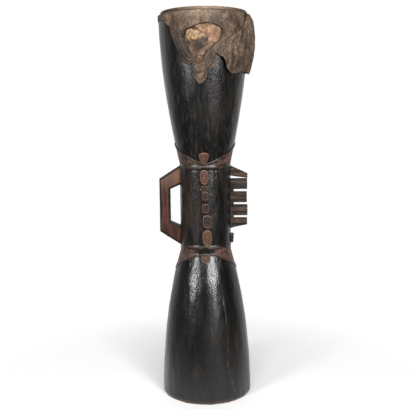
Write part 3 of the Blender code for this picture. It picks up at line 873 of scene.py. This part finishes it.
class KUNDU_OT_drumhead(bpy.types.Operator):
    """Build the head skin with its rim, crease and ragged collar, the gum and the tuning wax"""

    bl_idname = "kundu.drumhead"
    bl_label = "Head skin"

    def execute(self, context):
        self.head(context.scene.kundu.sag)
        gum = lump_look("tree_gum", srgb(168, 112, 66), srgb(92, 58, 34), 0.38)
        cover(frame_node("gum_seal"), gum)
        wax = lump_look("tuning_wax", srgb(62, 46, 34), srgb(30, 22, 17), 0.5, 240.0)
        for number, at in enumerate(WAX_DEGREES, start=1):
            self.wax_lump(number, at, wax)
        return {"FINISHED"}

    def head(self, sag):
        """Head skin as a profile turned round the axis, with crinkles from noise.

        The head sinks by the sag times one less the squared share of its radius. The profile goes over the
        rim, down to the crease, out over the shoulder and down the shell by a ragged fall.
        """
        look = dried_skin("lizard_skin", srgb(122, 98, 79), srgb(74, 57, 44), srgb(34, 25, 18))
        degrees = np.arange(360.0)
        across = np.linspace(HEAD_MIDDLE, HEAD_EDGE, 34)
        rows = [(r, HEAD_TOP - sag * (1 - (r / SAG_RADIUS) ** 2)) for r in across]
        rows += RIM
        rows += [(LIP_SKIN_RADIUS, z) for z in np.linspace(*LIP_SIDE, 7)]
        rows += CREASE
        ragged = COLLAR_FALL * (1.0 + 0.35 * noise(around(degrees, 0.087, 0.0), 0.012, 71))
        longer_left = COLLAR_LONGER * bell(degrees, 300, 22)
        collar_z = COLLAR_TOP - np.linspace(0.1, 1, 10)[:, None] * (ragged + longer_left)
        collar = body_radius(collar_z) + SKIN_GAP + SKIN_THICKNESS
        radius, height = (np.array(column)[:, None] * np.ones(360) for column in zip(*rows))
        radius = np.vstack([radius, collar])
        height = np.vstack([height, collar_z])
        crinkle = noise(around(degrees, radius, height), [0.008, 0.008, 0.004], 73)
        side = ramp(radius, 0.078, 0.004)
        radius = radius + CRINKLE_OUT * crinkle * side
        height = height + CRINKLE_UP * crinkle * (1 - side)
        points = around(degrees, radius, height)
        # Painted shade: the skin's side darkens at the crease and toward the left; the red spot is a stain
        crease = 0.95 * bell(height, CREASE_SHADE_HEIGHT, 0.0011) * side
        left_shade = 0.7 * bell(degrees, 298, 32) * side
        red_spot = 0.6 * bell(degrees, 22, 5) * (height < 0.7445)
        tone = np.clip(crease + red_spot + left_shade, 0, 1)
        # Painted light: the front of the skin's side is lightened
        front = 0.8 * bell((degrees + 175) % 360 - 180, 0, 32) * side
        head = grid_piece("head_skin", points, wrap_columns=True, tone=tone, pale=front)
        thicken(head)
        dress(head, "lizard_skin", look, "drumhead_skin")

    def wax_lump(self, number, at, look):
        """Lump of wax: a dome of rings whose height follows the root of one less a power of the share."""
        share = np.linspace(0.02, 1, 14)[:, None]
        turn = np.linspace(0, 2 * math.pi, 40, endpoint=False)[None, :]
        flat = np.stack([np.cos(turn) * share, np.sin(turn) * share, 0 * turn * share], axis=-1) * WAX_RADIUS
        blob = flat + around(at, WAX_PLACE, 0.0)
        dome = WAX_BASE + WAX_RISE * np.sqrt(np.clip(1 - share**2.4, 0, 1))
        lumps = noise(blob + number, 0.004, 81) * WAX_LUMPS
        blob[..., 2] = dome + lumps * (1 - share**4)
        piece = grid_piece(f"wax_{number}", blob, wrap_columns=True, caps=True, tone=0.0)
        dress(piece, "tuning_wax", look, f"tuning_wax_{number}")


class KUNDU_OT_torn_skin(bpy.types.Operator):
    """Build the torn apron, the folded flap, and the scraps and gum seen through the tear"""

    bl_idname = "kundu.torn_skin"
    bl_label = "Torn skin"

    def execute(self, context):
        look = dried_skin("torn_lizard_skin", srgb(158, 130, 106), srgb(82, 63, 49), srgb(32, 24, 18))
        self.apron(look)
        self.flap(look)
        self.scraps()
        return {"FINISHED"}

    def apron(self, look):
        """Apron as rows blended from the tear's edge to the outer edge, both made ragged by noise.

        Its lift off the shell is a bag between the edges, a curl along the tear, sine folds and noise.
        """
        outer = smooth_path(APRON_OUTER, 300, True)
        tear = smooth_path(APRON_TEAR, 300, True)
        share = np.linspace(0, 1, 40)[:, None]
        flat = tear[None] * (1 - share[..., None]) + outer[None] * share[..., None]
        degrees, drop = flat[..., 0], np.maximum(flat[..., 1], APRON_TOP)
        spot = skin_spot(degrees, drop)
        edge = np.exp(-share / 0.05) + np.exp(-(1 - share) / 0.04)
        ragged = noise(spot, 0.005, 91) * 0.5 * edge
        degrees = degrees + ragged * 0.8
        drop = np.maximum(drop + ragged * 1.2 * (drop > 3), APRON_TOP)
        upper_left = bell(tear[:, 0], -14, 11) * bell(tear[:, 1], 34, 14)
        curl = APRON_CURL * np.exp(-share / 0.06) * (0.25 + upper_left)
        along = share * 21 + 1.4 * noise(spot, 0.03, 93, 2)
        folds = APRON_FOLD * (0.5 + 0.5 * np.sin(along)) * ramp(drop, 18, 20) * ramp(drop, 0, 25)
        bag = APRON_BAG * np.sin(np.pi * share) * ramp(drop, 0, 40)
        lift = APRON_LIFT + bag + curl + folds + APRON_BUMP * (noise(spot, 0.011, 95) + 0.7)
        points = skin_outside(degrees, drop, np.maximum(lift, APRON_LEAST))
        # Painted shadow: darker along the tear's curled edge; also darker along the outer edge, at a stain
        # near the top, left of the tear lower down, further down and in patches
        dark = 0.9 * np.exp(-share / 0.03) + 0.5 * np.exp(-(1 - share) / 0.02)
        dark = dark + 0.8 * bell(degrees, 23, 4) * bell(drop, 4, 4)
        dark = dark + 0.45 * bell(degrees, -26, 12) * ramp(drop, 22, 15)
        dark = dark + 0.3 * ramp(drop, 30, 30) + 0.35 * patches(spot, 0.009, 97)
        # Painted light: the apron's top at the front is lightened, as on the head's rim
        front = 0.75 * bell(degrees, -5, 30) * bell(drop, 0, 11)
        apron = grid_piece("torn_apron", points, wrap_columns=True, tone=np.clip(dark, 0, 1), pale=front)
        thicken(apron)
        dress(apron, "lizard_skin", look, "skin_apron")

    def flap(self, look):
        """Flap as a blend between its four edges.

        A point is the blend of the top and hem, plus the blend of the left and right edges, less the blend
        of the corners. Its lift off the shell is a hang that is highest half way down, a rolled left edge,
        and sine wrinkles that run down it.
        """
        columns, rows = 190, 110
        u, v = np.meshgrid(np.linspace(0, 1, columns), np.linspace(0, 1, rows))
        u3, v3 = u[..., None], v[..., None]
        left_top, right_top, left_low, right_low = (
            np.array(corner) for corner in (FLAP_LEFT_TOP, FLAP_RIGHT_TOP, FLAP_LEFT_LOW, FLAP_RIGHT_LOW)
        )
        left = smooth_path(FLAP_FOLD, rows, False)[:, None]
        hem = smooth_path(FLAP_HEM, columns, False)[None]
        top = left_top + (right_top - left_top) * u3[:1]
        right = right_top + (right_low - right_top) * v3[:, :1]
        corners = ((1 - u3) * (1 - v3) * left_top + u3 * (1 - v3) * right_top + (1 - u3) * v3 * left_low
                   + u3 * v3 * right_low)
        flat = (1 - v3) * top + v3 * hem + (1 - u3) * left + u3 * right - corners
        degrees, drop = flat[..., 0], np.maximum(flat[..., 1], FLAP_LEFT_TOP[1])
        spot = skin_spot(degrees, drop)
        drop = drop + noise(spot, 0.006, 101) * 1.1 * v**8
        hang = np.sin(np.pi * ramp(drop, 0, FLAP_HANG)) ** 0.6
        face = ramp(degrees, 12, 50) * ramp(FLAP_RIGHT_TOP[0] - degrees, 0, 22)
        fold = ramp(u, 0, 0.07)
        roll = FLAP_ROLL * np.sqrt(np.clip(1 - (1 - fold) ** 2, 0, 1))
        wrinkle = np.sin(degrees * 0.62 + 2.2 * noise(spot, 0.02, 107, 2)) * FLAP_WRINKLE * ramp(drop, 0, 30)
        slack = FLAP_SLACK * noise(spot, [0.012, 0.03, 1.0], 109)
        lift = FLAP_LIFT + roll * ramp(drop, 0, 10) + FLAP_STAND * hang * face + (wrinkle + slack) * fold
        points = skin_outside(degrees, drop, np.maximum(lift, FLAP_LEAST))
        # Painted shade: darker along the fold; also darker along the hem and in patches
        tone = 0.7 * np.exp(-u / 0.012) + 0.35 * np.exp(-(1 - v) / 0.015)
        tone = tone + 0.3 * patches(spot, [0.008, 0.03, 1.0], 113)
        flap = grid_piece("folded_flap", points, tone=np.clip(tone, 0, 1), pale=0.0)
        thicken(flap)
        dress(flap, "lizard_skin", look, "skin_flap")

    def scraps(self):
        """Pads on the shell inside the tear: the under-skin with painted shade in its hollow, and what lies
        on it.
        """
        dark = lump_look("under_skin", srgb(112, 88, 66), srgb(34, 25, 20), 0.75)
        pale = lump_look("pale_scrap", srgb(166, 138, 104), srgb(104, 78, 54), 0.7)
        tan = lump_look("tan_scrap", srgb(160, 124, 96), srgb(104, 76, 58), 0.7, 120.0)
        gum = lump_look("gum_drop", srgb(132, 98, 68), srgb(66, 46, 34), 0.6)
        tear = from_drops(APRON_TEAR, 120)
        middle = tear.mean(axis=0)
        wide = middle + (tear - middle) * [1.12, 1.06]
        for name, outline, crown, rough, hollow, look, slot_name, nodes in (
            ("under_skin", wide, 0.0006, 0.0004, HOLLOW_SHADE, dark, "pale_skin", ["skin_scrap"]),
            ("pale_lump", from_drops(PALE_LUMP), 0.0052, 0.0008, None, pale, "pale_skin", []),
            ("scaled_strip", from_drops(SCALED_STRIP), 0.0032, 0.0004, None, tan, "pale_skin", []),
            ("tan_fold", from_drops(TAN_FOLD), 0.0030, 0.0010, None, tan, "pale_skin", []),
            ("gum_drop", from_drops(GUM_DROP), 0.0028, 0.0006, None, gum, "tree_gum", ["gum_lump"]),
        ):
            pad = pillow(
                name, outline, crown, SCRAP_SINK,
                base=SCRAP_BASE, rough=rough, seed=len(name), hollow=hollow,
            )
            dress(pad, slot_name, look, *nodes)


class KUNDU_OT_stage(bpy.types.Operator):
    """Build the pale floor, the white surroundings, the strip lights and the camera"""

    bl_idname = "kundu.stage"
    bl_label = "Stage"

    def execute(self, context):
        scene = context.scene
        self.floor()
        self.world(scene)
        self.lamps(scene)
        self.camera(scene)
        scene.view_settings.view_transform = "Standard"
        return {"FINISHED"}

    def floor(self):
        """Pale disc of rings under the drum, which turns clear away from it."""
        radius = np.linspace(0.0, FLOOR_RADIUS, 30)[:, None] + FLOOR_MIDDLE
        turn = np.linspace(0, 2 * math.pi, 96, endpoint=False)[None, :]
        x, y = radius * np.cos(turn), radius * np.sin(turn)
        flat = np.stack([x, y, 0 * x - FLOOR_DEPTH], axis=-1)
        floor = grid_piece("studio_floor", flat, wrap_columns=True)
        s = Shader("floor_white")
        s.done(srgb(236, 236, 236), 0.9, specular=0.1)
        away = s.node("ShaderNodeVectorMath", {"operation": "LENGTH"}, Vector=s.place).outputs["Value"]
        clear = s.node("ShaderNodeBsdfTransparent").outputs[0]
        faded = s.blend(s.step(away, *FLOOR_FADE), s.surface.outputs[0], clear)
        s.put(s.tree.nodes["Material Output"].inputs[0], faded)
        floor.data.materials.append(s.material)

    def world(self, scene):
        """White to the camera; to the drum, dim in front and bright behind, like a lit backdrop."""
        world = bpy.data.worlds.new("studio")
        world.use_nodes = True
        n = Nodes(world.node_tree)
        direction = n.node("ShaderNodeTexCoord").outputs["Generated"]
        behind = n.node("ShaderNodeSeparateXYZ", Vector=direction).outputs["Y"]
        lit = n.tree.nodes["Background"]
        n.put(lit.inputs["Color"], WHITE)
        n.put(lit.inputs["Strength"], n.step(behind, *BACKDROP))
        seen = n.node("ShaderNodeBackground", Color=WHITE)
        to_camera = n.node("ShaderNodeLightPath").outputs["Is Camera Ray"]
        mixed = n.blend(to_camera, lit.outputs[0], seen.outputs[0])
        n.put(n.tree.nodes["World Output"].inputs[0], mixed)
        scene.world = world

    def lamps(self, scene):
        """Two tall strip lights in front, left and right, and a broad soft one above."""
        for name, at, distance, height, wide, tall, share in LAMPS:
            lamp = bpy.data.lights.new(name, "AREA")
            lamp.shape = "RECTANGLE"
            lamp.size = wide
            lamp.size_y = tall
            lamp.energy = scene.kundu.lamp_power * share
            holder = bpy.data.objects.new(name, lamp)
            holder.location = Vector(around(at, distance, height))
            aim = Vector((0, 0, LAMP_AIM)) - holder.location
            holder.rotation_euler = aim.to_track_quat("-Z", "Y").to_euler()
            scene.collection.objects.link(holder)

    def camera(self, scene):
        """Eye above the drum's middle, turned down and slightly rolled."""
        pitch, roll = math.radians(CAMERA_PITCH), math.radians(CAMERA_ROLL)
        level = Vector((1, 0, 0))
        up = Vector((0, math.sin(pitch), math.cos(pitch)))
        right = math.cos(roll) * level - math.sin(roll) * up
        above = math.sin(roll) * level + math.cos(roll) * up
        back = right.cross(above)
        lens = bpy.data.cameras.new("camera")
        lens.sensor_width = CAMERA_SENSOR
        lens.sensor_fit = "HORIZONTAL"
        lens.lens = CAMERA_LENS
        camera = bpy.data.objects.new("camera", lens)
        turned = Matrix((right, above, back)).transposed().to_4x4()
        camera.matrix_world = Matrix.Translation(CAMERA_PLACE) @ turned
        scene.collection.objects.link(camera)
        scene.camera = camera


class KUNDU_PT_panel(bpy.types.Panel):
    """Lists the drum's settings and its pieces"""

    bl_idname = "KUNDU_PT_panel"
    bl_label = "Kundu drum"
    bl_space_type = "VIEW_3D"
    bl_region_type = "UI"
    bl_category = "Kundu"

    def draw(self, context):
        for name in ("ochre", "sag", "tool_marks", "lamp_power"):
            self.layout.prop(context.scene.kundu, name)
        for operator in OPERATORS:
            self.layout.operator(operator.bl_idname)


OPERATORS = (
    KUNDU_OT_shell, KUNDU_OT_carving, KUNDU_OT_handle, KUNDU_OT_crest, KUNDU_OT_drumhead,
    KUNDU_OT_torn_skin, KUNDU_OT_stage,
)
CLASSES = (KunduSettings, *OPERATORS, KUNDU_PT_panel)


def register():
    """Registers the classes and the scene's settings."""
    for item in CLASSES:
        bpy.utils.register_class(item)
    bpy.types.Scene.kundu = bpy.props.PointerProperty(type=KunduSettings)


def unregister():
    """Takes the settings and classes away again."""
    del bpy.types.Scene.kundu
    for item in reversed(CLASSES):
        bpy.utils.unregister_class(item)


def main():
    """Builds every piece and the stage."""
    register()
    bpy.ops.kundu.shell()
    bpy.ops.kundu.carving()
    bpy.ops.kundu.handle()
    bpy.ops.kundu.crest()
    bpy.ops.kundu.drumhead()
    bpy.ops.kundu.torn_skin()
    bpy.ops.kundu.stage()


if __name__ == "__main__":
    main()
